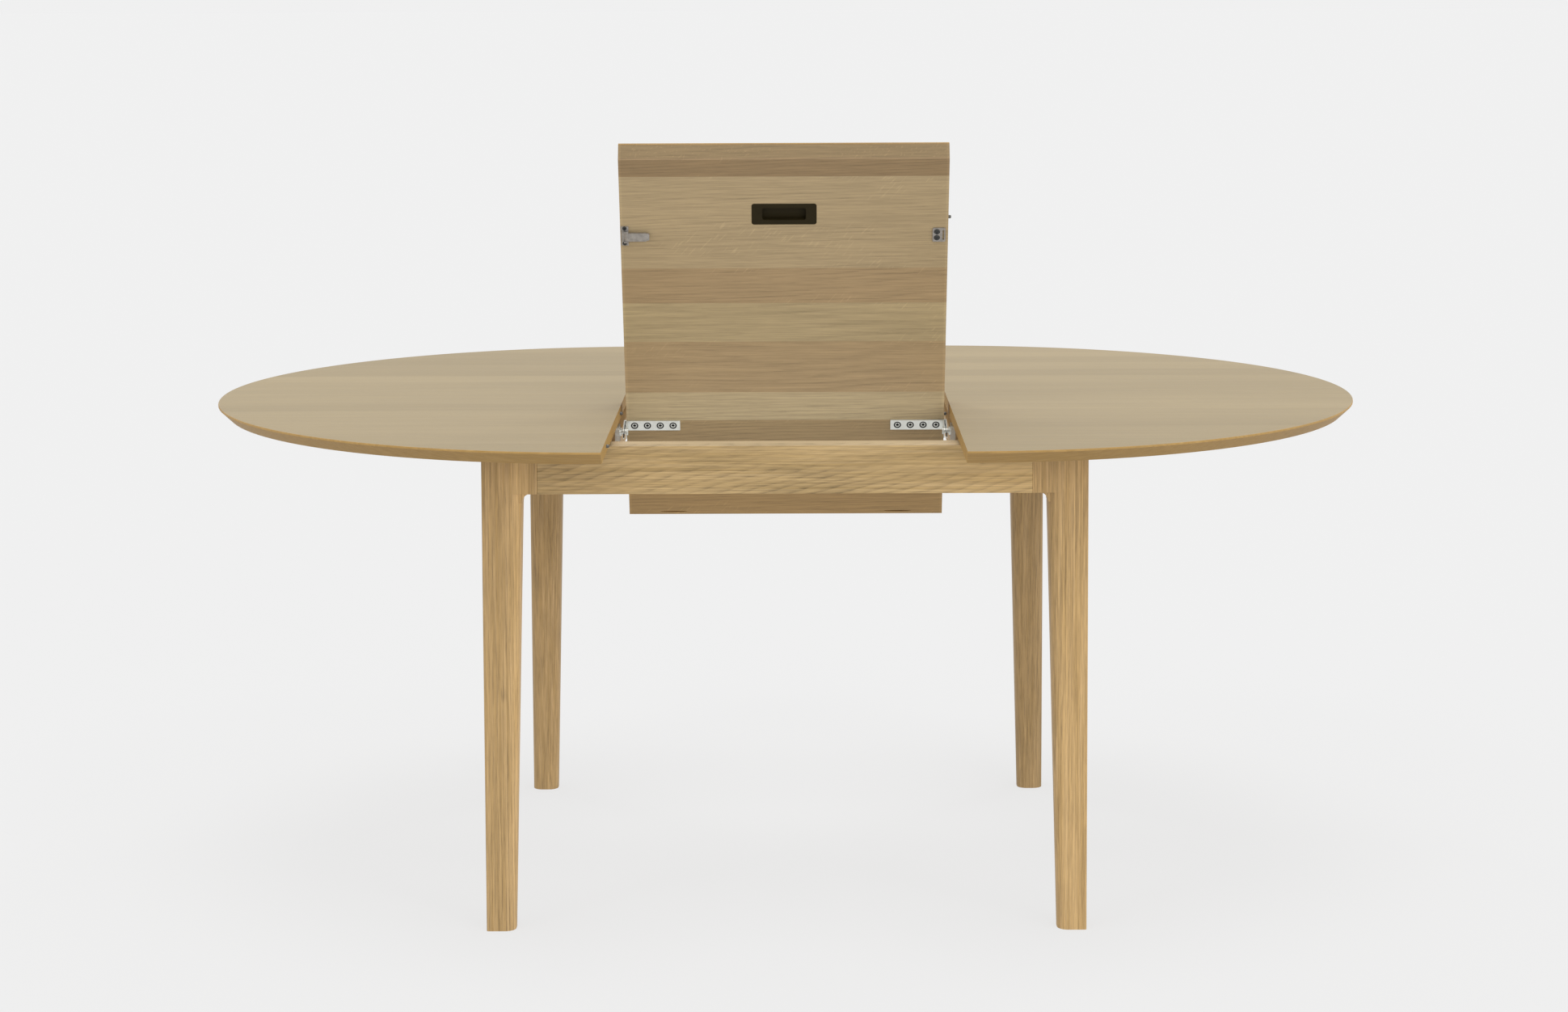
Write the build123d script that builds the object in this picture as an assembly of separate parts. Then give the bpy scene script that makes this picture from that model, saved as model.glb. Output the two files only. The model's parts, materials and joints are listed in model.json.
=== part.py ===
from build123d import *
import math
import os

# Round extending table: two half-round tops pulled apart, and a two-panel leaf folded
# and standing in the gap. Millimetres, +Z up, X along the extension, front at -Y.
# The origin is on the floor under the centre of the frame.

# --- tops
table_height = 752.0
top_radius = 645.0
top_thickness = 19.0
edge_tip = 3.0              # upright part of the outer edge, above the bevel
edge_bevel = 17.0           # how far the bevel runs in under the outer edge
edge_round = 1.2
half_gap = 256.0            # each half's straight edge from the centre, pulled out

# --- leaf
leaf_width = 495.0
leaf_length = 639.0         # one panel, from the fold to the free end
lean = 22.5                 # standing leaf, degrees forward of upright
pivot_drop = 21.0           # pivot axis below the leaf's underside
fold_to_pivot = 164.25

# --- frame
leg_outer_x = 446.5
leg_outer_y = 425.0
leg_head = 82.0             # square block between the aprons
leg_top = 59.0              # square shaft under the head
leg_foot = 43.0
leg_corner_round = 16.0     # every long edge but the outer one
leg_edge_round = 3.0        # the outer one
head_round = 14.0           # hollow curve from the shaft out to the head
seam_chamfer = 0.8          # small groove where an apron meets a leg
apron_bottom = 657.0
apron_top = 728.0
apron_thickness = 25.0
rail_thickness = 25.0
rail_height = 45.0
groove_depth = 10.0
groove_height = 12.0
groove_bottom = 700.0
bearer_inner_x = 264.0
bearer_width = 22.0
bearer_bottom = 658.5
bearer_top = 692.0

# --- runners under the half tops
runner_length = 100.0
runner_width = 20.0
runner_bottom = 694.0
runner_setback = 2.0        # from the half top's straight edge
slide_gap = 0.3             # all round the sliding tongue
tongue_gap = 0.5            # at the tongue's tip

# --- hardware
pin_diameter = 8.0
strap_length = 87.5
strap_overhang = 4.0        # how far a strap reaches past the leaf's edge
strap_width = 17.0
strap_thickness = 3.0
screw_pitch = 20.0
screw_head = 9.0
small_screw_head = 6.0
screw_shank = 4.0
screw_length = 14.0
screw_head_height = 2.2
screw_sunk = 0.2            # head below the face it is driven into
recess_half_width = 0.6     # cross recess in a screw's head
recess_depth = 1.4
dowel_diameter = 5.0
dowel_reach = 4.5           # how far an alignment pin stands out of its edge
dowel_chamfer = 1.0
dowel_spots = (177.0, 521.0)
latch_spot = 496.0          # latch and strike, from the fold
handle_spot = 531.0
handle_size = (98.0, 35.0, 12.0)
finger_pocket = (66.0, 20.0, 10.0)
hinge_x = 177.0
hinge_length = 42.0
knuckle_radius = 2.5
fit = 0.05                  # radial clearance of a turning fit

underside = table_height - top_thickness
pivot_y = -fold_to_pivot
pivot_z = underside - pivot_drop
leaf_edge = leaf_width / 2.0

os.makedirs("parts", exist_ok=True)


def save(name, *solids):
    """Write one node, made of one or several separate solids."""
    pieces = [s for item in solids for s in item.solids()]
    shape = pieces[0] if len(pieces) == 1 else Compound(children=pieces)
    shape.label = name
    export_step(shape, f"parts/{name}.step")


def block(x0, x1, y0, y1, z0, z1):
    """Box between two corners."""
    x0, x1, y0, y1, z0, z1 = (*sorted((x0, x1)), *sorted((y0, y1)), *sorted((z0, z1)))
    centre = Pos((x0 + x1) / 2, (y0 + y1) / 2, (z0 + z1) / 2)
    return centre * Box(x1 - x0, y1 - y0, z1 - z0)


def rod(radius, start, end, axis):
    """Cylinder along X, Y or Z from start to end, centred on the other two axes."""
    turn = {"X": Rot(0, 90, 0), "Y": Rot(-90, 0, 0), "Z": Rot(0, 0, 0)}[axis]
    move = {"X": Pos(start, 0, 0), "Y": Pos(0, start, 0), "Z": Pos(0, 0, start)}[axis]
    cylinder = Cylinder(radius, end - start, align=(Align.CENTER, Align.CENTER, Align.MIN))
    return move * turn * cylinder


def stand_up(shape):
    """Turn a shape from the leaf's flat place in the table top to where it stands."""
    turn = Pos(0, pivot_y, pivot_z) * Rot(lean - 90, 0, 0) * Pos(0, -pivot_y, -pivot_z)
    return turn * shape


def fold_over(shape):
    """Turn a shape of the rear panel about the fold, face down on the front panel."""
    return Pos(0, 0, table_height) * Rot(180, 0, 0) * Pos(0, 0, -table_height) * shape


def mirror_y(shape):
    return mirror(shape, about=Plane.XZ)


def mirror_x(shape):
    return mirror(shape, about=Plane.YZ)


def countersunk_screw(head_diameter=screw_head):
    """Screw driven upward: its head's flat face is just above z = 0, its point at the top."""
    radius = head_diameter / 2
    head = Cone(radius, screw_shank / 2, screw_head_height,
                align=(Align.CENTER, Align.CENTER, Align.MIN))
    shank = rod(screw_shank / 2, screw_head_height, screw_length, "Z")
    arm, half = radius * 0.62, recess_half_width
    cross = (block(-arm, arm, -half, half, 0, recess_depth)
             + block(-half, half, -arm, arm, 0, recess_depth))
    return Pos(0, 0, screw_sunk) * (head + shank - cross)


def screw_seat(head_diameter=screw_head):
    """Space for one screw: a countersink that shows as a ring round the head."""
    ring, gap = 0.45, 0.02
    depth = screw_head_height + ring
    head = Cone(head_diameter / 2 + ring, screw_shank / 2 + gap, depth,
                align=(Align.CENTER, Align.CENTER, Align.MIN))
    return head + rod(screw_shank / 2 + gap, depth, screw_length + 0.5, "Z")


# ---------------------------------------------------------------- legs
def leg_section(width, z):
    """Square section in the +X +Y corner: the outer corner is tight, the others rounded."""
    centre = Pos(leg_outer_x - width / 2, leg_outer_y - width / 2)
    square = Rectangle(width, width)
    outer = [v for v in square.vertices() if v.X > 0 and v.Y > 0]
    square = fillet(outer, leg_edge_round)
    others = [v for v in square.vertices() if v.X * v.Y < 0 and abs(v.X) == abs(v.Y)
              or v.X < 0 and v.Y < 0]
    return Pos(0, 0, z) * centre * fillet(others, leg_corner_round)


def leg():
    """Leg of the +X +Y corner: a shaft tapered on its two inner faces, under a head."""
    shaft = loft([leg_section(leg_foot, 0), leg_section(leg_top, apron_bottom)])
    inner_x, inner_y = leg_outer_x - leg_head, leg_outer_y - leg_head
    head = block(inner_x, leg_outer_x, inner_y, leg_outer_y, apron_bottom, apron_top)
    corner = head.edges().filter_by(Axis.Z).sort_by(Axis((0, 0, 0), (1, 1, 0)))[-1]
    head = fillet(corner, leg_edge_round)
    # hollow curve from the shaft's inner face out to the head's lower face
    face_x = leg_outer_x - leg_top
    wing = block(face_x - head_round, face_x + 6, leg_outer_y - leg_top + leg_corner_round,
                 leg_outer_y - 6, apron_bottom - head_round, apron_bottom)
    wing -= Pos(face_x - head_round, 0, apron_bottom - head_round) * rod(
        head_round, 0, leg_outer_y, "Y")
    return shaft + head + wing


one_leg = leg()
save("leg_rear_right", one_leg)
save("leg_rear_left", mirror_x(one_leg))
save("leg_front_right", mirror_y(one_leg))
save("leg_front_left", mirror_y(mirror_x(one_leg)))

# ---------------------------------------------------------------- aprons and rails
head_x = leg_outer_x - leg_head
head_y = leg_outer_y - leg_head


def apron(half_length, outer):
    """Apron along X at +Y, its outer end edges eased where they meet the legs."""
    board = block(-half_length, half_length, outer - apron_thickness, outer,
                  apron_bottom, apron_top)
    ends = [e for e in board.edges().filter_by(Axis.Z) if e.center().Y > outer - 0.1]
    return chamfer(ends, seam_chamfer)


long_apron = apron(head_x, leg_outer_y)
side_apron = Rot(0, 0, -90) * apron(head_y, leg_outer_x)
save("apron_rear", long_apron)
save("apron_front", mirror_y(long_apron))
save("apron_right", side_apron)
save("apron_left", mirror_x(side_apron))

rail_outer = leg_outer_y - apron_thickness
rail_inner = rail_outer - rail_thickness
guide_rail = block(-head_x, head_x, rail_inner, rail_outer, apron_top - rail_height, apron_top)
guide_rail -= block(-head_x, head_x, rail_inner, rail_inner + groove_depth,
                    groove_bottom, groove_bottom + groove_height)
save("guide_rail_rear", guide_rail)
save("guide_rail_front", mirror_y(guide_rail))

# bearers run front to back and carry the leaf's two pivots
rail_bottom = apron_top - rail_height
bearer = block(bearer_inner_x, bearer_inner_x + bearer_width, -rail_outer, rail_outer,
               bearer_bottom, rail_bottom)
bearer += block(bearer_inner_x, bearer_inner_x + bearer_width, -rail_inner, rail_inner,
                rail_bottom, bearer_top)

# nylon pads on the side aprons, which the half tops slide over
pad_length, pad_width, pad_y, pad_inset, pad_gap = 60.0, 19.0, 200.0, 3.0, 0.2
pad = block(leg_outer_x - pad_inset - pad_width, leg_outer_x - pad_inset,
            -pad_length / 2, pad_length / 2, apron_top, underside - pad_gap)
pads = [Pos(0, side * pad_y, 0) * pad for side in (-1, 1)]
save("glide_pads", *pads, *[mirror_x(p) for p in pads])

# ---------------------------------------------------------------- leaf pivots
bracket_half_width = 12.0
bracket_above, bracket_below = 12.0, 14.0       # the plate over and under the pivot axis
bracket_corner = 8.0
bracket_face_x, bracket_step_x, boss_x = 257.0, 260.0, 254.0
boss_radius = 6.5
bracket_screw_y, bracket_screw_z = 6.0, bearer_bottom + 16


def pivot_bracket():
    """Bracket on the right bearer: a round-topped plate with a boss for the pivot pin."""
    y0, y1 = pivot_y - bracket_half_width, pivot_y + bracket_half_width
    top = pivot_z + bracket_above
    shape = block(bracket_face_x, bracket_step_x, y0, y1, pivot_z - bracket_below, top)
    shape += block(bracket_step_x, bearer_inner_x, y0, y1, bearer_bottom + 3, top)
    upper = [e for e in shape.edges().filter_by(Axis.X) if e.center().Z > top - 1]
    axis = Pos(0, pivot_y, pivot_z)
    shape = fillet(upper, bracket_corner) + axis * rod(boss_radius, boss_x, bracket_face_x, "X")
    return shape - axis * rod(pin_diameter / 2 + 0.01, boss_x - 1, bearer_inner_x + 1, "X")


bracket_screw_turn = Pos(bracket_step_x, 0, 0) * Rot(0, 90, 0)
bracket_screw_places = [Pos(0, pivot_y + side * bracket_screw_y, bracket_screw_z)
                        for side in (-1, 1)]
bracket = pivot_bracket()
for place in bracket_screw_places:
    seat = place * bracket_screw_turn * screw_seat()
    bracket -= seat
    bearer -= seat
save("pivot_bracket_right", bracket)
save("pivot_bracket_left", mirror_x(bracket))
save("bearer_right", bearer)
save("bearer_left", mirror_x(bearer))
bracket_screws = [place * bracket_screw_turn * countersunk_screw()
                  for place in bracket_screw_places]
save("bracket_screws", *bracket_screws, *[mirror_x(s) for s in bracket_screws])

ear_thickness = 1.5
ear_starts = (246.0, leaf_edge + strap_overhang - ear_thickness)     # the strap's two ears
ear_reach = 12.0            # past the pivot axis
pin_gap, pin_head_height, pin_head_lip = 0.2, 1.8, 1.5
pin_head_x = ear_starts[0] - pin_gap
pivot_pin = rod(pin_diameter / 2, pin_head_x - pin_head_height / 2, bearer_inner_x - pin_gap, "X")
pivot_pin += rod(pin_diameter / 2 + pin_head_lip, pin_head_x - pin_head_height, pin_head_x, "X")
pivot_pin = Pos(0, pivot_y, pivot_z) * pivot_pin
save("pivot_pins", pivot_pin, mirror_x(pivot_pin))


# ---------------------------------------------------------------- half tops
def dowel_row(edge_x, reach, direction, depth=16.0):
    """Alignment pins of one front panel edge; direction is where they point."""
    pins = []
    for spot in dowel_spots:
        low, high = sorted((edge_x - direction * depth, edge_x + direction * reach))
        pin = rod(dowel_diameter / 2, low, high, "X")
        pin = chamfer(pin.edges().filter_by(GeomType.CIRCLE).sort_by(Axis.X)[-1], dowel_chamfer)
        pins.append(Pos(0, -spot, table_height - top_thickness / 2) * pin)
    return pins


def dowel_seats(edge_x, depth=16.2):
    """Tight holes that hold one row of alignment pins."""
    return [Pos(0, -spot, table_height - top_thickness / 2)
            * rod(dowel_diameter / 2 + 0.02, edge_x - depth, edge_x + 1, "X")
            for spot in dowel_spots]


def dowel_holes(edge_x, direction, depth=6.0, gap=0.3):
    """Holes in one front panel edge that receive the facing alignment pins."""
    holes = []
    for spot in dowel_spots:
        low, high = sorted((edge_x, edge_x - direction * depth))
        holes.append(Pos(0, -spot, table_height - top_thickness / 2)
                     * rod(dowel_diameter / 2 + gap, low - 0.5, high + 0.5, "X"))
    return holes


def cut(shape, tools):
    for tool in tools:
        shape -= tool
    return shape


def both_ends(shapes):
    return list(shapes) + [mirror_y(s) for s in shapes]


def edge_section(reach):
    """Section of a top from its middle to its bevelled outer edge, upper face at the top."""
    return make_face(Polyline(
        (0, underside), (reach - edge_bevel, underside), (reach, table_height - edge_tip),
        (reach, table_height), (0, table_height), close=True))


def half_top():
    """Right half of the round top, straight edge on the pulled-out line."""
    disc = revolve(Plane.XZ * edge_section(top_radius), Axis.Z)
    slab = disc & block(0, top_radius + 1, -top_radius - 1, top_radius + 1,
                        underside - 1, table_height + 1)
    rim = [e for e in slab.edges().filter_by(GeomType.CIRCLE)
           if e.center().Z > table_height - 0.1]
    return Pos(half_gap, 0, 0) * fillet(rim, edge_round)


right_half = cut(half_top(), both_ends(dowel_holes(half_gap, -1)))
left_pins = both_ends(dowel_row(-half_gap, dowel_reach, 1))
left_half = cut(mirror_x(half_top()), both_ends(dowel_seats(-half_gap)))
save("half_top_pins", *left_pins)


def runner():
    """Runner under the rear of the right half, its tongue in the guide rail's groove."""
    x0 = half_gap + runner_setback
    body = block(x0, x0 + runner_length, rail_inner - slide_gap - runner_width,
                 rail_inner - slide_gap, runner_bottom, underside)
    tongue = block(x0, x0 + runner_length, rail_inner - slide_gap,
                   rail_inner + groove_depth - tongue_gap, groove_bottom + slide_gap,
                   groove_bottom + groove_height - slide_gap)
    return body + tongue


one_runner = runner()
save("runner_rear_right", one_runner)
save("runner_rear_left", mirror_x(one_runner))
save("runner_front_right", mirror_y(one_runner))
save("runner_front_left", mirror_y(mirror_x(one_runner)))

# ---------------------------------------------------------------- latches and strikes
latch_half = 16.0
lug_inner, lug_outer = 7.2, 9.4
lever_half, lever_length = 6.8, 35.0
lever_tip, lever_thickness = 4.5, 3.4          # length of the thinner tip, body thickness
latch_pin_inset, latch_pin_drop, trunnion_radius, barrel_radius = 9.0, 4.6, 1.5, 2.2
latch_start, lug_start, latch_end = 1.5, 5.5, 12.5  # from the edge
lug_height = 8.0
strike_start, strike_end, strike_half = 4.0, 23.5, 11.5
strike_slot = (6.2, 8.6, 8.0)                  # from the edge, to, and half its width
plate_thickness = 2.2


def latch_base(edge_x):
    """Latch body on an underside, beside an edge that faces -X."""
    plate = block(edge_x + latch_start, edge_x + latch_end, -latch_half, latch_half,
                  underside - plate_thickness, underside)
    for side in (-1, 1):
        plate += block(edge_x + lug_start, edge_x + latch_end, side * lug_inner,
                       side * lug_outer, underside - lug_height, underside - 1)
    bore = Pos(edge_x + latch_pin_inset, 0, underside - latch_pin_drop)
    plate -= bore * rod(trunnion_radius + fit, -latch_half - 1, latch_half + 1, "Y")
    return Pos(0, -latch_spot, 0) * plate


def latch_lever(edge_x):
    """Lever that lies along the underside and swings down about its trunnions."""
    x = edge_x + latch_pin_inset
    trunnion = Pos(x, 0, underside - latch_pin_drop)
    shape = trunnion * rod(barrel_radius, -lever_half, lever_half, "Y")
    shape += trunnion * rod(trunnion_radius, -lug_outer, lug_outer, "Y")
    top = underside - latch_pin_drop + 0.6
    body_end = x + lever_length - lever_tip
    shape += block(x, body_end, -lever_half, lever_half, top - lever_thickness, top)
    tip = block(body_end, x + lever_length, -lever_half + 0.8, lever_half - 0.8,
                top - lever_thickness + 1, top)
    ends = tip.edges().filter_by(Axis.Z).sort_by(Axis.X)[-2:]
    shape += fillet(ends, 2.5)
    return Pos(0, -latch_spot, 0) * shape


def strike_plate(edge_x):
    """Slotted plate on an underside, beside an edge that faces +X."""
    plate = block(edge_x - strike_end, edge_x - strike_start, -strike_half, strike_half,
                  underside - plate_thickness, underside)
    corners = plate.edges().filter_by(Axis.Z)
    near, far, half = strike_slot
    slot = block(edge_x - far, edge_x - near, -half, half, underside - 3, underside + 1)
    return Pos(0, -latch_spot, 0) * (fillet(corners, 2.0) - slot)


def fitted(plate, places, head_diameter=screw_head):
    """A plate with its screw seats, its screws, and the seats to cut in the wood."""
    seats = [p * screw_seat(head_diameter) for p in places]
    screws = [p * countersunk_screw(head_diameter) for p in places]
    return cut(plate, seats), screws, seats


def screw_row(x, offsets):
    """Screw places on the face of a plate, beside the latch spot."""
    return [Pos(x, -latch_spot + dy, underside - plate_thickness) for dy in offsets]


def fitted_strike(edge_x):
    return fitted(strike_plate(edge_x), screw_row(edge_x - 17, (-4.9, 4.9)))


def fitted_latch(edge_x):
    return fitted(latch_base(edge_x), screw_row(edge_x + 6.5, (-12.6, 12.6)), small_screw_head)


half_base, half_latch_screws, half_latch_seats = fitted_latch(half_gap)
save("half_latch_bases", *both_ends([half_base]))
save("half_latch_screws", *both_ends(half_latch_screws))
save("half_top_right", cut(right_half, both_ends(half_latch_seats)))
save("half_latch_lever_front", latch_lever(half_gap))
save("half_latch_lever_rear", mirror_y(latch_lever(half_gap)))
half_strike, half_strike_screws, half_strike_seats = fitted_strike(-half_gap)
save("half_strikes", *both_ends([half_strike]))
save("half_strike_screws", *both_ends(half_strike_screws))
save("half_top_left", cut(left_half, both_ends(half_strike_seats)))

# ---------------------------------------------------------------- leaf panels
slot_length = hinge_length + 1.0


def fold_axis_rod(radius, start, end):
    return Pos(0, 0, table_height) * rod(radius, start, end, "X")


def hinge_cuts():
    """Room for the two fold hinges in the front panel's fold end."""
    cuts = []
    for side in (-1, 1):
        x0, x1 = side * hinge_x - slot_length / 2, side * hinge_x + slot_length / 2
        cuts.append(fold_axis_rod(knuckle_radius + 0.3, x0, x1))
        cuts.append(block(x0, x1, -1.55, 1, table_height - 14.5, table_height + 1))
        # lens-shaped slot that shows on the underside
        slot = extrude(Ellipse(slot_length / 2, 0.9), 2.5)
        cuts.append(Pos(side * hinge_x, -4.8, underside) * slot)
    return cuts


def leaf_panel():
    """Front panel, flat in the table top, with the round top's bevel along its free end."""
    panel = mirror_y(extrude(Plane.YZ * edge_section(leaf_length), leaf_edge, both=True))
    free = [e for e in panel.edges().filter_by(Axis.X)
            if e.center().Y < -leaf_length + 0.1 and e.center().Z > table_height - 0.1]
    panel = fillet(free, edge_round)
    return cut(panel, hinge_cuts() + dowel_holes(-leaf_edge, -1))


def strap():
    """Right strap under the front panel, with two ears that turn on the pivot pin."""
    end = leaf_edge + strap_overhang
    half = strap_width / 2
    shape = block(end - strap_length, end, pivot_y - half, pivot_y + half,
                  underside - strap_thickness, underside)
    for start in ear_starts:
        shape += block(start, start + ear_thickness, pivot_y - half, pivot_y + half,
                       pivot_z - ear_reach, underside - 1)
    low = [e for e in shape.edges().filter_by(Axis.X) if e.center().Z < pivot_z - ear_reach + 0.1]
    shape = fillet(low, 6.0)
    bore = Pos(0, pivot_y, pivot_z) * rod(pin_diameter / 2 + fit, ear_starts[0] - 1, end + 1, "X")
    return shape - bore


first_strap_screw = leaf_edge - 72.5        # the innermost of the four
strap_screw_places = [Pos(first_strap_screw + i * screw_pitch, pivot_y,
                          underside - strap_thickness) for i in range(4)]
strap_right, strap_screws, strap_seats = fitted(strap(), strap_screw_places)
save("strap_right", stand_up(strap_right))
save("strap_left", stand_up(mirror_x(strap_right)))
save("strap_screws", *[stand_up(s) for s in strap_screws],
     *[stand_up(mirror_x(s)) for s in strap_screws])

leaf_strike, leaf_strike_screws, leaf_strike_seats = fitted_strike(leaf_edge)
leaf_base, leaf_latch_screws, leaf_latch_seats = fitted_latch(-leaf_edge)
leaf_lever = latch_lever(-leaf_edge)
leaf_pins = dowel_row(leaf_edge, dowel_reach, 1)


def handle_pocket(size, depth, corner):
    """Rounded pocket sunk into the underside of the front panel."""
    outline = RectangleRounded(size[0], size[1], corner)
    return Pos(0, -handle_spot, underside) * extrude(outline, depth)


handle_cup = handle_pocket(handle_size, handle_size[2], 4.0)
handle_cup -= handle_pocket(finger_pocket, finger_pocket[2], 3.0)
handle_seat = handle_pocket((handle_size[0] + 0.2, handle_size[1] + 0.2), handle_size[2] + 0.1, 4.1)

blank = cut(leaf_panel(), leaf_strike_seats + leaf_latch_seats)
front_panel = cut(blank, strap_seats + [mirror_x(s) for s in strap_seats] + [handle_seat]
                  + dowel_seats(leaf_edge))
rear_panel = mirror_y(blank)

save("leaf_front_panel", stand_up(front_panel))
save("handle_cup", stand_up(handle_cup))
save("leaf_front_pins", *[stand_up(p) for p in leaf_pins])
save("leaf_front_latch_base", stand_up(leaf_base))
save("leaf_front_latch_screws", *[stand_up(s) for s in leaf_latch_screws])
save("leaf_front_latch_lever", stand_up(leaf_lever))
save("leaf_front_strike", stand_up(leaf_strike))
save("leaf_front_strike_screws", *[stand_up(s) for s in leaf_strike_screws])


def on_rear_panel(shape):
    return stand_up(fold_over(mirror_y(shape)))


save("leaf_rear_panel", stand_up(fold_over(rear_panel)))
save("leaf_rear_latch_base", on_rear_panel(leaf_base))
save("leaf_rear_latch_screws", *[on_rear_panel(s) for s in leaf_latch_screws])
save("leaf_rear_latch_lever", on_rear_panel(leaf_lever))
save("leaf_rear_strike", on_rear_panel(leaf_strike))
save("leaf_rear_strike_screws", *[on_rear_panel(s) for s in leaf_strike_screws])

# ---------------------------------------------------------------- fold hinges
knuckle_split = 7.0         # half the length of the middle knuckle
hinge_plate_thickness, hinge_plate_height, hinge_pin_radius = 1.5, 14.0, 1.2


def hinge_leaf(centre_x, outer_knuckles):
    """Hinge plate in a panel's fold end, with its share of the knuckle."""
    half = hinge_length / 2
    plate = block(-half, half, -hinge_plate_thickness, 0,
                  table_height - hinge_plate_height, table_height)
    outer = [(-half, -knuckle_split), (knuckle_split, half)]
    middle = [(-knuckle_split + 0.1, knuckle_split - 0.1)]
    mine, other = (outer, middle) if outer_knuckles else (middle, outer)
    for start, end in other:
        plate -= fold_axis_rod(knuckle_radius + 0.15, start - 0.1, end + 0.1)
    for start, end in mine:
        plate += fold_axis_rod(knuckle_radius, start, end)
    gap = 0.01 if outer_knuckles else fit
    plate -= fold_axis_rod(hinge_pin_radius + gap, -half - 1, half + 1)
    return Pos(centre_x, 0, 0) * plate


front_leaves = [hinge_leaf(side * hinge_x, True) for side in (-1, 1)]
rear_leaves = [mirror_y(hinge_leaf(side * hinge_x, False)) for side in (-1, 1)]
hinge_pins = [fold_axis_rod(hinge_pin_radius, side * hinge_x - hinge_length / 2,
                            side * hinge_x + hinge_length / 2) for side in (-1, 1)]
save("fold_hinge_front", *[stand_up(h) for h in front_leaves])
save("fold_hinge_rear", *[stand_up(fold_over(h)) for h in rear_leaves])
save("fold_hinge_pins", *[stand_up(p) for p in hinge_pins])
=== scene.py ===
import json
import math

import bpy
from mathutils import Euler, Matrix, Vector

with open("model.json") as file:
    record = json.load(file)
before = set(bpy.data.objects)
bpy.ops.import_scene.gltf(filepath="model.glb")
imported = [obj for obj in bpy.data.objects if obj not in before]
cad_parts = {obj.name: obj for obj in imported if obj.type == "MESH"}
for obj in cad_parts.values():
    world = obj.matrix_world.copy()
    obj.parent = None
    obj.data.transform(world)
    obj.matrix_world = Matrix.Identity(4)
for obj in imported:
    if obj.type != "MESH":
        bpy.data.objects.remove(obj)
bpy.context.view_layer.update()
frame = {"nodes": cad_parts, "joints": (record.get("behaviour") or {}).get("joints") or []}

NODES = frame["nodes"]
JOINTS = {joint["name"]: joint for joint in frame["joints"]}
scene = bpy.context.scene

# ------------------------------------------------------------------ places
SWING = JOINTS["leaf_swing"]
PIVOT = Vector(SWING["pos_m"])
LEAF_TO_FLAT = math.radians(SWING["range_deg"][1])   # turn that lays the leaf flat


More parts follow.
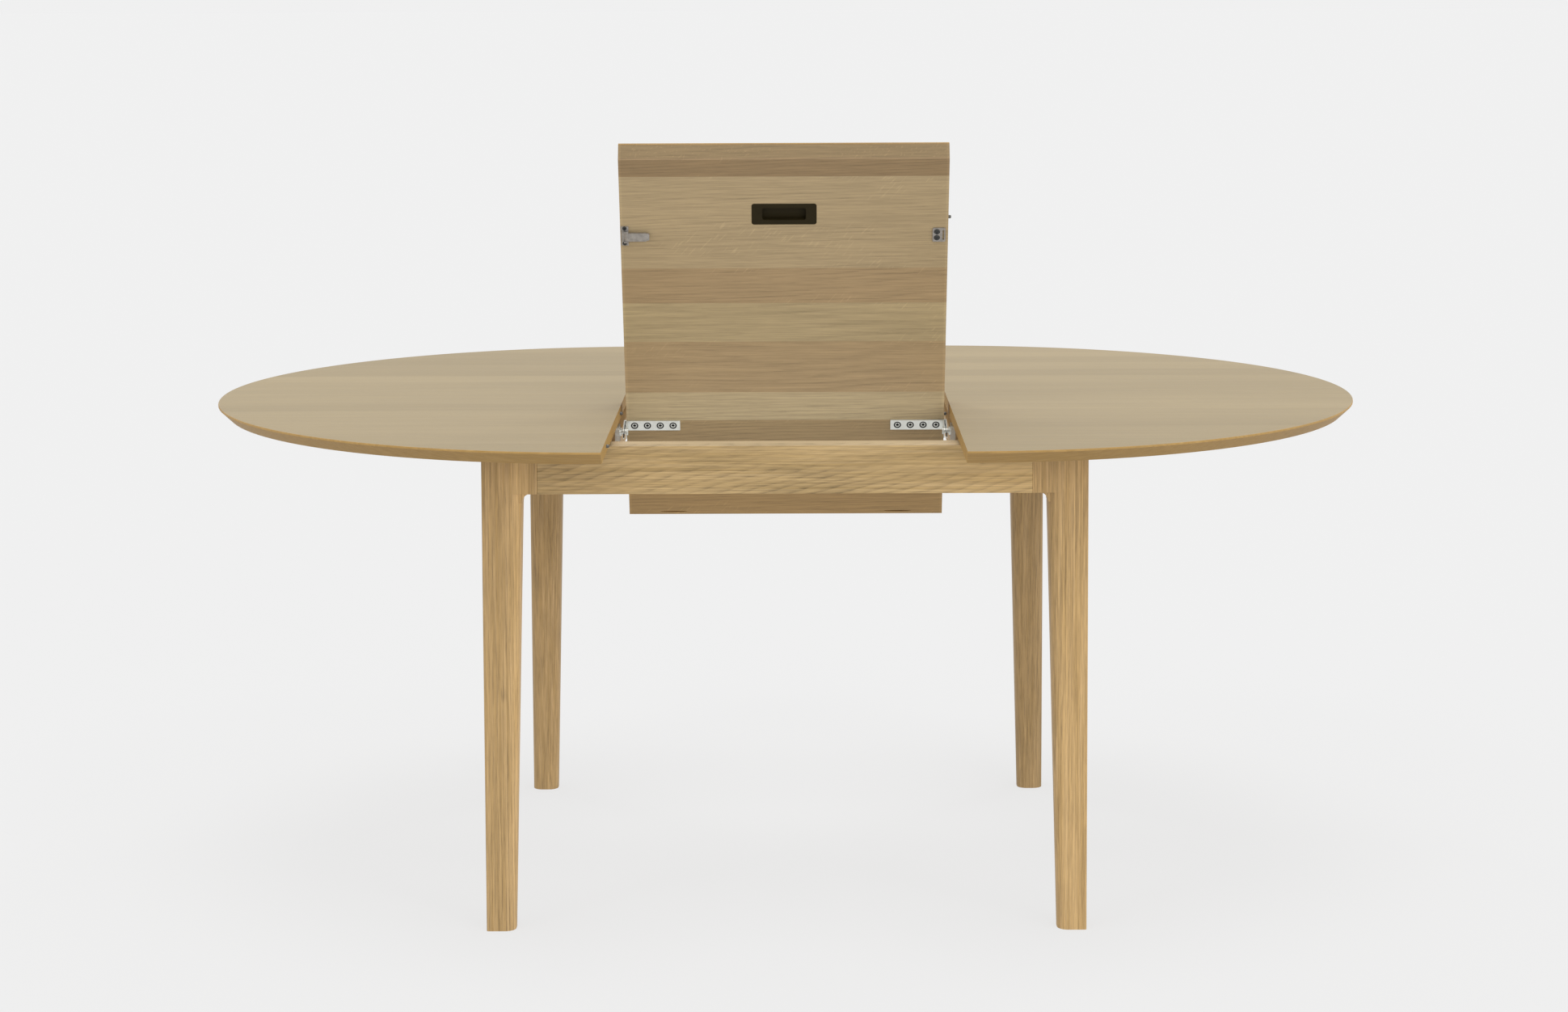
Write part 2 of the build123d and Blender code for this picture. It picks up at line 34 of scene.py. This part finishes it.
# ------------------------------------------------------------------ node helpers
class Shader:
    """A small material builder: nodes by short calls, sockets by index or name."""

    def __init__(self, name):
        self.material = bpy.data.materials.new(name)
        self.material.use_nodes = True
        self.tree = self.material.node_tree
        self.tree.nodes.clear()
        out = self.add("ShaderNodeOutputMaterial")
        self.bsdf = self.add("ShaderNodeBsdfPrincipled")
        self.link(self.bsdf.outputs[0], out.inputs["Surface"])
        self.coords = self.add("ShaderNodeTexCoord")

    def add(self, kind, **settings):
        node = self.tree.nodes.new(kind)
        for key, value in settings.items():
            setattr(node, key, value)
        return node

    def link(self, source, target):
        self.tree.links.new(source, target)

    def put(self, socket, value):
        """Joins a socket to a value, or to another socket."""
        if isinstance(value, bpy.types.NodeSocket):
            self.link(value, socket)
        else:
            socket.default_value = value

    def set(self, **values):
        for key, value in values.items():
            self.put(self.bsdf.inputs[key.replace("_", " ")], value)

    def mapping(self, scale=(1, 1, 1), rotation=(0, 0, 0), location=(0, 0, 0), source=None):
        node = self.add("ShaderNodeMapping")
        self.link(source or self.coords.outputs["Object"], node.inputs["Vector"])
        node.inputs["Scale"].default_value = scale
        node.inputs["Rotation"].default_value = rotation
        node.inputs["Location"].default_value = location
        return node.outputs[0]

    def laid_flat(self):
        """Places on the table with the standing leaf turned flat about its pivot."""
        turn = Matrix.Rotation(LEAF_TO_FLAT, 3, "X")
        return self.mapping(rotation=(LEAF_TO_FLAT, 0, 0), location=PIVOT - turn @ PIVOT)

    def math(self, operation, a, b=0.0, c=0.0):
        node = self.add("ShaderNodeMath", operation=operation)
        for socket, value in zip(node.inputs, (a, b, c)):
            self.put(socket, value)
        return node.outputs[0]

    def vector(self, operation, a, b):
        node = self.add("ShaderNodeVectorMath", operation=operation)
        self.put(node.inputs[0], a)
        self.put(node.inputs[1], b)
        return node.outputs[0]

    def length(self, a, b):
        """The length of the flat vector with these two parts."""
        return self.math("SQRT", self.math("ADD", self.math("MULTIPLY", a, a),
                                           self.math("MULTIPLY", b, b)))

    def noise(self, vector, scale, detail, roughness=0.5):
        node = self.add("ShaderNodeTexNoise")
        self.link(vector, node.inputs["Vector"])
        node.inputs["Scale"].default_value = scale
        node.inputs["Detail"].default_value = detail
        node.inputs["Roughness"].default_value = roughness
        return node.outputs["Fac"]

    def stretched_noise(self, field, source=None):
        """Noise that is finer across the grain than along it, as field says."""
        along, across, detail, roughness = field
        return self.noise(self.mapping(scale=(along, across, across), source=source),
                          1.0, detail, roughness)

    def split(self, vector):
        node = self.add("ShaderNodeSeparateXYZ")
        self.link(vector, node.inputs[0])
        return node.outputs

    def join(self, x, y, z):
        node = self.add("ShaderNodeCombineXYZ")
        for socket, value in zip(node.inputs, (x, y, z)):
            self.put(socket, value)
        return node.outputs[0]

    def steps(self, value, stops):
        """A colour for each range of the value, with hard edges between them."""
        node = self.add("ShaderNodeValToRGB")
        ramp = node.color_ramp
        ramp.interpolation = "CONSTANT"
        while len(ramp.elements) < len(stops):
            ramp.elements.new(0.5)
        for element, (place, colour) in zip(ramp.elements, stops):
            element.position = place
            element.color = (*colour, 1)
        self.link(value, node.inputs[0])
        return node.outputs[0]

    def mix(self, factor, a, b, blend="MIX"):
        node = self.add("ShaderNodeMix", data_type="RGBA", blend_type=blend)
        self.put(node.inputs[0], factor)
        for socket, value in ((node.inputs[6], a), (node.inputs[7], b)):
            self.put(socket, (*value, 1) if isinstance(value, tuple) else value)
        return node.outputs[2]

    def rescale(self, value, low, high, to_low=0.0, to_high=1.0):
        node = self.add("ShaderNodeMapRange", clamp=True)
        for socket, item in zip(node.inputs, (value, low, high, to_low, to_high)):
            self.put(socket, item)
        return node.outputs[0]

    def bump(self, height, strength, distance):
        node = self.add("ShaderNodeBump")
        node.inputs["Strength"].default_value = strength
        node.inputs["Distance"].default_value = distance
        self.link(height, node.inputs["Height"])
        self.link(node.outputs[0], self.bsdf.inputs["Normal"])


# the middle of a noise, stretched to its full range: softly, and more firmly
SOFT, FIRM = (0.3, 0.7), (0.35, 0.65)


def grey(value):
    return (value, value, value)


def scaled(colour, *factors):
    """The colour with each channel multiplied, by one factor or by three."""
    return tuple(c * k for c, k in zip(colour, factors * 3 if len(factors) == 1 else factors))


# ------------------------------------------------------------------ oak
TURNS = {"X": (0, 0, 0), "Y": (0, 0, math.radians(90)), "Z": (0, math.radians(90), 0)}
OAK_SIDE = (0.405, 0.263, 0.113)
OAK_APRON = (0.388, 0.266, 0.119)
# the up-facing colour of the tops: oak paled and greyed by a painted sheen
OAK_TOP_SHEEN = (0.302, 0.236, 0.135)
OAK_EDGE = (0.337, 0.203, 0.061)
OAK_LEAF = (0.370, 0.284, 0.158)
# the up-facing strips of the aprons and rails: oak paled and greyed by a painted sheen
OAK_STRIP_SHEEN = (0.505, 0.390, 0.235)
WARM_STREAK, PALE_STREAK = (0.97, 0.95, 0.86), (1.03, 1.05, 1.12)

# noise fields of the wood: cycles a metre along and across the grain, detail, roughness
RING_BEND = (2.6, 14.0, 3.0, 0.5)
RING_UNEVEN = (1.0, 110.0, 1.0, 0.5)
RING_LIFE = (1.5, 30.0, 1.0, 0.5)
STREAKS = (3.5, 260.0, 2.0, 0.6)
FIBRES = (16.0, 620.0, 2.0, 0.65)
PORES = (70.0, 1500.0, 1.0, 0.5)
CLOUDS = (2.0, 9.0, 2.0, 0.5)
RAYS = (45.0, 420.0, 0.0, 0.5)
RAY_PATCHES = (5.0, 16.0, 1.0, 0.5)

RING_JITTER = 0.006          # how far a ring's radius wavers, in metres
RAY_TURN = 0.85              # radians between the rays and the grain
RING_RISE, RING_FALL = 0.12, 0.55     # parts of a ring where its dark start comes and goes
FAINTEST_RING = 0.25
# how much each feature darkens or pales the wood
RING_SHADE, RING_LIFT, PORE_SHADE = 0.20, 0.07, 0.16
STREAK_SWING, FIBRE_SWING, CLOUD_SWING = 0.14, 0.26, 0.10
LIPPING_LIFT, LIPPING_BLUR = 0.10, 0.0003
STAVE_TONES = (0.93, 1.06)
STAVE_JITTER = 0.75          # how unequal the widths of glued staves are
STAVE_STEPS = (37.0, 40.0)   # how far a stave's tone moves its grain: for listed staves, for random ones
# how far up a surface faces, from -1 to 1, where one tone gives way to the next: on the rim,
# from the bevel's painted shade to painted light above it; on the boards, from the edge colour
# to a face colour that is painted sheen on the tops and the strips
RIM_BEVEL = (-0.6, -0.3)
LEAF_FACE, BOARD_FACE = (0.6, 0.7), (0.85, 0.95)
OAK_ROUGHNESS, OAK_SPECULAR = (0.50, 0.62), 0.35
OAK_BUMP, OAK_RELIEF, FIBRE_RELIEF = 0.25, 0.00025, 0.35


def stave_tones(s, across, staves, stave_and_shade_ramp, seed):
    """The tone of each glued stave, if any, and how far its grain is moved along."""
    # a listed ramp can carry painted shade as well as stave tones, as the leaf's does by its
    # fold
    if stave_and_shade_ramp:
        spot = s.math("MULTIPLY", across, -1.0 / stave_and_shade_ramp["span"])
        tone = s.steps(spot, stave_and_shade_ramp["stops"])
        return tone, s.math("MULTIPLY_ADD", s.split(tone)[0], STAVE_STEPS[0], seed)
    if staves:
        cells = s.add("ShaderNodeTexVoronoi", voronoi_dimensions="1D")
        s.link(s.math("ADD", across, seed), cells.inputs["W"])
        cells.inputs["Scale"].default_value = 1.0 / staves
        cells.inputs["Randomness"].default_value = STAVE_JITTER
        random = s.split(cells.outputs["Color"])
        light = s.rescale(random[0], 0.0, 1.0, *STAVE_TONES)
        return s.join(light, light, light), s.math("MULTIPLY_ADD", random[1],
                                                   STAVE_STEPS[1], seed)
    return None, seed


def early_wood(s, along, across, through, grain, slope, wander, spacing, heart):
    """1 in the open dark start of a growth ring, falling to 0 in its dense pale end."""
    bend = s.stretched_noise(RING_BEND, grain)
    bend = s.math("MULTIPLY", s.math("SUBTRACT", bend, 0.5), wander * 2)
    u = s.math("MULTIPLY_ADD", along, slope[0], s.math("ADD", across, heart[0]))
    v = s.math("MULTIPLY_ADD", along, slope[1], s.math("ADD", through, heart[1]))
    jitter = s.math("MULTIPLY_ADD", s.stretched_noise(RING_UNEVEN, grain), RING_JITTER, bend)
    radius = s.math("ADD", s.length(u, v), jitter)
    phase = s.math("FRACT", s.math("MULTIPLY", radius, 1.0 / spacing))
    early = s.math("MULTIPLY", s.rescale(phase, 0.0, RING_FALL, 1.0, 0.0),
                   s.rescale(phase, 0.0, RING_RISE))
    life = s.stretched_noise(RING_LIFE, grain)
    return s.math("MULTIPLY", early, s.rescale(life, *FIRM, FAINTEST_RING, 1.0))


def ray_flecks(s, grain):
    """Pale ray flecks, short and askew to the grain, in patches."""
    askew = s.mapping(rotation=(0, 0, RAY_TURN), source=grain)
    ray = s.stretched_noise(RAYS, askew)
    patch = s.stretched_noise(RAY_PATCHES, grain)
    return s.math("MULTIPLY", s.rescale(ray, 0.66, 0.74), s.rescale(patch, 0.50, 0.60))


def mark_patch(s, place, fibre, centre, size, ragged):
    """1 inside a patch of the wood and 0 outside, with an edge that follows the fibres."""
    reach = s.add("ShaderNodeVectorMath", operation="LENGTH")
    s.link(s.vector("DIVIDE", s.vector("SUBTRACT", place, centre), size), reach.inputs[0])
    reach = s.math("MULTIPLY_ADD", s.math("SUBTRACT", fibre, 0.5), ragged,
                   reach.outputs["Value"])
    return s.rescale(reach, 0.3, 1.0, 1.0, 0.0)


def oak(name, grain="X", colour=OAK_SIDE, face_colour=None, face_up_only=False, leaf=False,
        staves=0.0, stave_and_shade_ramp=None, contrast=1.0, seed=0.0, slope=(0.0, 0.0),
        wander=0.010, spacing=0.005, heart=(0.02, -0.05), flecks=0.0, marks=(),
        painted_rim_light=0.0, lipping=0.0):
    """Oiled oak. The grain axis is X, Y or Z of the table, or of the flat leaf.

    staves is the mean width of glued staves, and stave_and_shade_ramp lists them instead,
    together with any painted shade.
    heart is where the middle of the tree was, across and through the board. slope leans
    it both ways along the board, spacing is a ring's width, and wander bends the rings.
    Each mark is a patch (place, size, amount, ragged) that is darker or paler than the
    rest. Some marks are knots, and others are painted shade and painted light.
    painted_rim_light pales all but the bevel as painted light, and darkens the bevel, which
    faces down, as painted shade;
    lipping is where pale end strips start.
    """
    s = Shader(name)
    place = s.laid_flat() if leaf else s.coords.outputs["Object"]
    along, across, through = s.split(s.mapping(rotation=TURNS[grain], source=place))
    tone, offset = stave_tones(s, across, staves, stave_and_shade_ramp, seed)
    shifted = s.join(s.math("ADD", along, offset), across, through)

    early = early_wood(s, along, across, through, shifted, slope, wander, spacing, heart)
    streak = s.stretched_noise(STREAKS, shifted)
    fibre = s.stretched_noise(FIBRES, shifted)
    pore = s.math("MULTIPLY", s.rescale(s.stretched_noise(PORES, shifted), 0.50, 0.66),
                  s.rescale(early, 0.0, 0.8, 0.35, 1.0))
    cloud = s.stretched_noise(CLOUDS, shifted)

    shade = s.math("MULTIPLY_ADD", early, -RING_SHADE * contrast, 1.0 + RING_LIFT * contrast)
    for field, low, high, amount in ((streak, 0.32, 0.68, STREAK_SWING),
                                     (fibre, 0.34, 0.66, FIBRE_SWING),
                                     (cloud, *SOFT, CLOUD_SWING)):
        swing = s.rescale(field, low, high, -0.5, 0.5)
        shade = s.math("MULTIPLY_ADD", swing, amount * contrast, shade)
    shade = s.math("MULTIPLY_ADD", pore, -PORE_SHADE * contrast, shade)
    if flecks:
        shade = s.math("MULTIPLY_ADD", ray_flecks(s, shifted), flecks, shade)
    for centre, size, amount, ragged in marks:
        patch = mark_patch(s, place, fibre, centre, size, ragged)
        shade = s.math("MULTIPLY_ADD", patch, amount, shade)
    if lipping:
        strip = s.rescale(s.math("ABSOLUTE", along), lipping, lipping + LIPPING_BLUR)
        shade = s.math("MULTIPLY_ADD", strip, LIPPING_LIFT, shade)

    body = s.mix(s.rescale(streak, *SOFT), scaled(colour, *WARM_STREAK),
                 scaled(colour, *PALE_STREAK))
    # up-facing faces take face_colour, which on the tops and on the apron and rail strips is
    # paler and greyer as painted sheen
    if face_colour:
        normal = s.coords.outputs["Normal"]
        if leaf:
            normal = s.mapping(rotation=(LEAF_TO_FLAT, 0, 0), source=normal)
        level = s.split(normal)[2]
        # painted light on the rim above its bevel, and painted shade on the bevel, which faces
        # down
        if painted_rim_light:
            rim = s.rescale(level, *RIM_BEVEL, 1.0 - painted_rim_light, 1.0 + painted_rim_light)
            shade = s.math("MULTIPLY", shade, rim)
        if not face_up_only:
            level = s.math("ABSOLUTE", level)
        face_start = LEAF_FACE if leaf else BOARD_FACE
        body = s.mix(s.rescale(level, *face_start), body, face_colour)
    if tone is not None:
        body = s.mix(1.0, body, tone, "MULTIPLY")
    s.set(Base_Color=s.mix(1.0, body, s.join(shade, shade, shade), "MULTIPLY"),
          Roughness=s.rescale(fibre, 0.2, 0.8, *OAK_ROUGHNESS),
          Specular_IOR_Level=OAK_SPECULAR)
    s.bump(s.math("SUBTRACT", s.math("MULTIPLY", fibre, FIBRE_RELIEF), pore),
           OAK_BUMP, OAK_RELIEF)
    return s.material


# ------------------------------------------------------------------ metal and plastic
WEAR_SCALE, WEAR_DETAIL, WEAR_ROUGHNESS = 160.0, 3.0, 0.6
BRUSHING = (60.0, 900.0, 2.0, 0.5)
BRUSH_BUMP, BRUSH_RELIEF = 0.08, 0.0002
PLATED = 0.85                # metallic value of plated steel
DULLER, SHINIER = 1.25, 0.8  # what wear does to its roughness

# the four screws of each strap: the innermost one's place, their pitch and head radius
SCREW_START, SCREW_PITCH, SCREW_RADIUS = 0.175, 0.020, 0.0047
# painted shade of each strap screw: a dark ring at the head's edge and a dark recess in its
# middle
OUTLINE_WIDTH = (0.0007, 0.0014)     # from the head's edge, to full plate
RECESS_RADIUS = (0.0019, 0.0027)
RECESS_SHADE = (0.02, 0.02, 0.02)

# moulded plastic: its spark-eroded grain, and its faint blotches
SPARK_SCALE, SPARK_SWING, SPARK_BUMP, SPARK_RELIEF = 1800.0, 0.06, 0.15, 0.0001
BLOTCH_SCALE, BLOTCH_SHADE = 45.0, 0.85


def screw_shade_lines(s):
    """1 in the outline and the recess of each strap screw, which are painted shade, 0 on the
    plate between.
    """
    x, y, _ = s.split(s.laid_flat())
    along = s.math("SUBTRACT", s.math("ABSOLUTE", x), SCREW_START - SCREW_PITCH / 2)
    along = s.math("SUBTRACT", s.math("PINGPONG", along, SCREW_PITCH / 2), SCREW_PITCH / 2)
    radius = s.length(along, s.math("SUBTRACT", y, PIVOT.y))
    off_edge = s.math("ABSOLUTE", s.math("SUBTRACT", radius, SCREW_RADIUS))
    outline = s.math("SUBTRACT", 1.0, s.rescale(off_edge, *OUTLINE_WIDTH))
    return s.math("MAXIMUM", outline, s.rescale(radius, *RECESS_RADIUS, 1.0, 0.0))


def metal(name, colour, roughness, wear=0.08, screw_head_shade=False):
    """Plated steel with a faint cloud of wear and fine brushing."""
    s = Shader(name)
    cloud = s.noise(s.mapping(), WEAR_SCALE, WEAR_DETAIL, WEAR_ROUGHNESS)
    plate = s.mix(s.rescale(cloud, *FIRM), scaled(colour, 1.0 - wear), colour)
    # painted shade at the edge and in the recess of each strap screw head
    if screw_head_shade:
        plate = s.mix(screw_shade_lines(s), plate, RECESS_SHADE)
    s.set(Base_Color=plate, Metallic=PLATED,
          Roughness=s.rescale(cloud, *SOFT, roughness * DULLER, roughness * SHINIER))
    s.bump(s.stretched_noise(BRUSHING), BRUSH_BUMP, BRUSH_RELIEF)
    return s.material


def plastic(name, colour, roughness, specular=0.5):
    """Moulded plastic with a fine spark-eroded texture."""
    s = Shader(name)
    grain = s.noise(s.mapping(), SPARK_SCALE, 2.0, 0.7)
    cloud = s.noise(s.mapping(), BLOTCH_SCALE, 2.0)
    s.set(Base_Color=s.mix(s.rescale(cloud, *SOFT), scaled(colour, BLOTCH_SHADE), colour),
          Roughness=s.rescale(grain, *SOFT, roughness - SPARK_SWING, roughness + SPARK_SWING),
          Specular_IOR_Level=specular)
    s.bump(grain, SPARK_BUMP, SPARK_RELIEF)
    return s.material


# ------------------------------------------------------------------ finishes
ZINC = (0.74, 0.75, 0.70)
straps = metal("strap_plate", ZINC, 0.34, wear=0.07, screw_head_shade=True)
zinc = metal("zinc_plate", ZINC, 0.34)
nickel = metal("dull_nickel", (0.43, 0.41, 0.39), 0.42, wear=0.25)
pins = metal("pin_steel", (0.14, 0.14, 0.13), 0.40)
screws = metal("screw_steel", (0.10, 0.105, 0.105), 0.30, wear=0.3)
handle = plastic("handle_plastic", (0.020, 0.0145, 0.0045), 0.55, specular=0.12)
nylon = plastic("white_nylon", (0.78, 0.78, 0.75), 0.45)

# underside of the leaf's front panel: stave edges from the fold, as parts of its length. The
# first two stops, below the strap where the leaf dips under the tops into the frame, are
# painted shade, and the first is warmed by a painted bounce of light.
LEAF_STAVES_AND_SHADE = {"span": 0.639, "stops": [
    (0.0, (0.83, 0.69, 0.51)), (0.055, (0.85, 0.78, 0.69)), (0.269, (1.08, 1.10, 1.13)),
    (0.345, (0.93, 0.86, 0.81)), (0.486, (0.98, 0.98, 0.95)), (0.590, (0.86, 0.785, 0.74)),
    (0.684, (0.955, 0.935, 0.94)), (0.929, (0.635, 0.56, 0.51)),
    (0.974, (0.59, 0.535, 0.475))]}

TOP_LOOK = dict(colour=OAK_EDGE, face_colour=OAK_TOP_SHEEN, face_up_only=True, staves=0.085,
                contrast=0.5, slope=(0.0, 0.012), heart=(0.0, -0.742), flecks=0.05,
                painted_rim_light=0.10)
LEAF_LOOK = dict(colour=OAK_EDGE, face_colour=OAK_LEAF, leaf=True, contrast=0.85,
                 slope=(0.05, 0.0), heart=(0.3, -0.6), flecks=0.16, lipping=0.2435)
APRON_LOOK = dict(colour=OAK_APRON, face_colour=OAK_STRIP_SHEEN, face_up_only=True, wander=0.014,
                  slope=(0.0, -0.30), heart=(0.455, -0.35), spacing=0.011)
LEG_LOOK = dict(grain="Z", contrast=1.5, wander=0.005)
LEG_HEARTS = {"front": (0.32, 0.62), "rear": (0.32, -0.62)}
# a tone for each leg: the front legs differ in tone, and the rear legs are darkened as painted
# shade under the table
LEG_TONES_AND_SHADE = {("front", "left"): 0.91, ("front", "right"): 1.05,
              ("rear", "left"): 0.81, ("rear", "right"): 0.72}

# marks: place, size, amount, ragged
KNOT = 1.6                   # how ragged a knot's or a crack's edge is
LEFT_TOP_MARKS = [((-0.742, -0.425, 0.741), (0.010, 0.010, 0.005), -0.35, KNOT)]
RIGHT_TOP_MARKS = [((0.745, -0.424, 0.741), (0.012, 0.012, 0.004), -0.4, KNOT)]
APRON_MARKS_AND_SHADE = [((0.290, -0.425, 0.703), (0.006, 0.006, 0.004), -0.35, KNOT),
               # painted shade over the middle of the apron, softening the light that falls in
               # through the gap
               ((0.0, -0.425, 0.70), (0.30, 0.05, 0.12), -0.15, 0.0),
               ((0.34, -0.425, 0.665), (0.26, 0.05, 0.07), 0.26, 0.0),
               # painted shadow of the left top on the left end of the apron
               ((-0.33, -0.425, 0.70), (0.14, 0.05, 0.08), -0.10, 0.0)]
# painted light on a front leg's inner facet: a painted highlight on the left leg and painted
# shade on the right
FACET_LIGHT_PATCH = (0.020, 0.08, 0.90)  # the long inner facet of a leg
LEG_MARKS_AND_FACET_LIGHT = {("front", "left"): [((-0.418, -0.425, 0.358), (0.004, 0.004, 0.016), -0.38, KNOT),
                                 # painted highlight on the left leg's inner facet
                                 ((-0.392, -0.40, 0.35), FACET_LIGHT_PATCH, 0.36, 0.0)],
             # painted shade on the right leg's inner facet
             ("front", "right"): [((0.392, -0.40, 0.35), FACET_LIGHT_PATCH, -0.16, 0.0)]}

FINISH = {
    "half_top_left": oak("oak_top_left", seed=3.0, marks=LEFT_TOP_MARKS, **TOP_LOOK),
    "half_top_right": oak("oak_top_right", seed=11.0, marks=RIGHT_TOP_MARKS, **TOP_LOOK),
    "leaf_front_panel": oak("oak_leaf_front", stave_and_shade_ramp=LEAF_STAVES_AND_SHADE, seed=5.0, **LEAF_LOOK),
    "leaf_rear_panel": oak("oak_leaf_rear", staves=0.075, seed=8.0, **LEAF_LOOK),
    "apron_front": oak("oak_apron_front", seed=2.0, contrast=1.5, marks=APRON_MARKS_AND_SHADE,
                       **APRON_LOOK),
    "apron_rear": oak("oak_apron_rear", seed=21.0, **APRON_LOOK),
    "handle_cup": handle,
    "glide_pads": nylon,
}
for index, side in enumerate(("left", "right")):
    FINISH[f"apron_{side}"] = oak(f"oak_apron_{side}", grain="Y", seed=30.0 + index,
                                  **APRON_LOOK)
    FINISH[f"bearer_{side}"] = oak(f"oak_bearer_{side}", grain="Y", seed=40.0 + index)
    for row, end in enumerate(("front", "rear")):
        corner_seed = 2 * index + row
        FINISH[f"leg_{end}_{side}"] = oak(
            f"oak_leg_{end}_{side}", seed=50.0 + corner_seed, heart=LEG_HEARTS[end],
            colour=scaled(OAK_SIDE, LEG_TONES_AND_SHADE[end, side]),
            marks=LEG_MARKS_AND_FACET_LIGHT.get((end, side), ()), **LEG_LOOK)
        FINISH[f"runner_{end}_{side}"] = oak(f"oak_runner_{end}_{side}",
                                             seed=60.0 + corner_seed)
for end in ("front", "rear"):
    FINISH[f"guide_rail_{end}"] = oak(f"oak_rail_{end}", face_colour=OAK_STRIP_SHEEN,
                                      face_up_only=True, seed=70.0)


def fitting_finish(name):
    """The finish of a metal fitting, by what its node is called."""
    if name.startswith("strap"):
        return straps
    if "screw" in name:
        return screws
    if "latch" in name or "strike" in name:
        return nickel
    if name.endswith("pins") and "pivot" not in name and "hinge" not in name:
        return pins
    return zinc


for name, node in NODES.items():
    node.data.materials.clear()
    node.data.materials.append(FINISH.get(name) or fitting_finish(name))


# ------------------------------------------------------------------ floor and light
PALE = 0.871                 # the even backdrop
FLOOR_DIFFUSE = 0.12
FLOOR_REACH = 400.0
# suns: where from, strength, width in degrees
SUNS = {"overhead": ((0.0, -0.10, 1.0), 0.80, 30),
        "front": ((0.60, -1.0, 0.10), 1.3, 40),
        "left": ((-1.0, -0.25, 0.12), 0.45, 40),
        "right": ((1.0, -0.25, 0.12), 0.45, 40)}
for index, corner in enumerate(((-1, -1), (1, -1), (-1, 1), (1, 1))):
    SUNS[f"corner_{index}"] = ((*corner, 1.6), 0.14, 10)


def add_sun(name, origin, strength, width):
    lamp = bpy.data.lights.new(name, "SUN")
    lamp.energy = strength
    lamp.angle = math.radians(width)
    sun = bpy.data.objects.new(name, lamp)
    sun.rotation_euler = Vector(origin).to_track_quat("Z", "Y").to_euler()
    scene.collection.objects.link(sun)


def make_floor():
    """An even floor as pale as the backdrop: it glows by what the lights leave out."""
    mesh = bpy.data.meshes.new("floor")
    corners = [(x * FLOOR_REACH, y * FLOOR_REACH, 0)
               for x, y in ((-1, -1), (1, -1), (1, 1), (-1, 1))]
    mesh.from_pydata(corners, [], [(0, 1, 2, 3)])
    floor = bpy.data.objects.new("floor", mesh)
    scene.collection.objects.link(floor)
    lit = PALE + sum(strength * Vector(origin).normalized().z
                     for origin, strength, _ in SUNS.values()) / math.pi
    s = Shader("pale_floor")
    s.set(Base_Color=(*grey(FLOOR_DIFFUSE), 1), Roughness=1.0, Specular_IOR_Level=0.0,
          Emission_Color=(1, 1, 1, 1), Emission_Strength=PALE - FLOOR_DIFFUSE * lit)
    floor.data.materials.append(s.material)


for name, (origin, strength, width) in SUNS.items():
    add_sun(name, origin, strength, width)
make_floor()

world = bpy.data.worlds.new("studio")
scene.world = world
world.use_nodes = True
backdrop = world.node_tree.nodes["Background"].inputs
backdrop["Color"].default_value = (*grey(PALE), 1)
backdrop["Strength"].default_value = 1.0


# ------------------------------------------------------------------ camera
CAMERA_PLACE = (0.01546, -4.797403, 1.379828)
TILT_DOWN, TURN_LEFT, ROLL = (math.radians(angle) for angle in (4.850, 0.201, -0.226))

camera = bpy.data.cameras.new("camera")
camera.sensor_width = 36.0
camera.lens = 69.0055
camera.shift_y = -0.16
camera.clip_end = 2000.0
camera_object = bpy.data.objects.new("camera", camera)
facing = Euler((math.radians(90) - TILT_DOWN, 0, TURN_LEFT)).to_matrix()
camera_object.matrix_world = (Matrix.Translation(CAMERA_PLACE)
                              @ (facing @ Matrix.Rotation(ROLL, 3, "Z")).to_4x4())
scene.collection.objects.link(camera_object)
scene.camera = camera_object

scene.view_settings.view_transform = "Standard"
scene.view_settings.look = "None"
